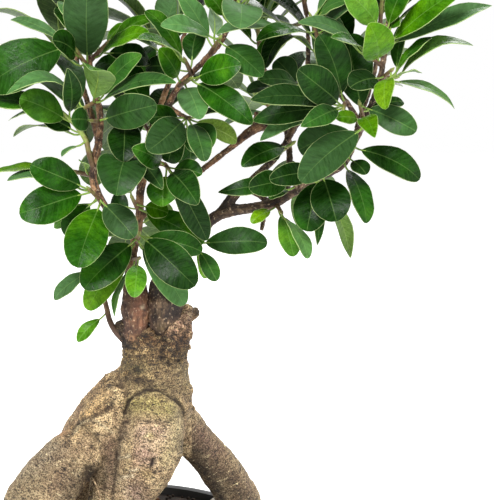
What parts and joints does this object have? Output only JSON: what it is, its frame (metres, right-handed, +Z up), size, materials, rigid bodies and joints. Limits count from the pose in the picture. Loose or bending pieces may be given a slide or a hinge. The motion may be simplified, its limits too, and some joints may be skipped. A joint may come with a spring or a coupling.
{
  "type": "potted bonsai",
  "caption": "Ginseng ficus bonsai with thick bare roots and grafted leafy branches, standing in soil in a plain black bowl.",
  "frame": {"origin": "centre of the bowl's flat base, on the surface that it stands on", "axes": "+Z up; -Y towards the side that the picture shows; +X to the right as seen from there"},
  "size_m": [0.3428, 0.2265, 0.4734],
  "materials": {
    "pot": "satin",
    "soil": "rough",
    "pebble": "matte",
    "root_bark": "matte bark",
    "brown_bark": "rough bark",
    "leaf": "waxy gloss"
  },
  "bodies": {
    "root": {"pot": "pot", "soil": "soil", "pebble_1": "pebble", "pebble_2": "pebble", "pebble_3": "pebble", "rootstock": "root_bark", "scion_left": "brown_bark", "scion_right": "brown_bark", "shoot_left_crest": "leaf", "shoot_left_hub": "leaf", "shoot_left_inner": "leaf", "shoot_left_twin": "leaf", "shoot_left_stem": "leaf", "shoot_left_low": "leaf", "shoot_left_side": "leaf", "shoot_heart_left": "leaf", "shoot_heart_hang": "leaf", "shoot_heart_low": "leaf", "shoot_heart_young": "leaf", "shoot_heart_up": "leaf", "shoot_heart_right": "leaf", "shoot_heart_twig": "leaf", "shoot_mid_low": "leaf", "shoot_mid_side": "leaf", "shoot_mid_high": "leaf", "shoot_mid_top": "leaf", "shoot_mid_branch": "leaf", "shoot_fork": "leaf", "shoot_fork_low": "leaf", "shoot_limb_mid": "leaf", "shoot_limb_low": "leaf", "shoot_limb_hang": "leaf", "shoot_limb_right": "leaf", "shoot_limb_face": "leaf", "shoot_limb_glossy": "leaf", "shoot_right_hub": "leaf", "shoot_right_high": "leaf", "shoot_right_arch": "leaf", "shoot_right_young": "leaf", "shoot_right_crest": "leaf", "shoot_right_side": "leaf", "shoot_low_twig": "leaf", "shoot_back_low": "leaf", "shoot_back_limb": "leaf", "shoot_back_stem": "leaf", "shoot_top_left": "leaf", "shoot_top_mid": "leaf", "shoot_top_right": "leaf", "shoot_top_inner": "leaf", "shoot_back_a": "leaf", "shoot_back_b": "leaf", "shoot_back_c": "leaf", "shoot_back_d": "leaf", "shoot_back_e": "leaf", "shoot_back_f": "leaf", "shoot_back_g": "leaf", "shoot_back_h": "leaf", "shoot_back_i": "leaf", "shoot_back_k": "leaf", "shoot_heart_side": "leaf"}
  },
  "joints": []
}
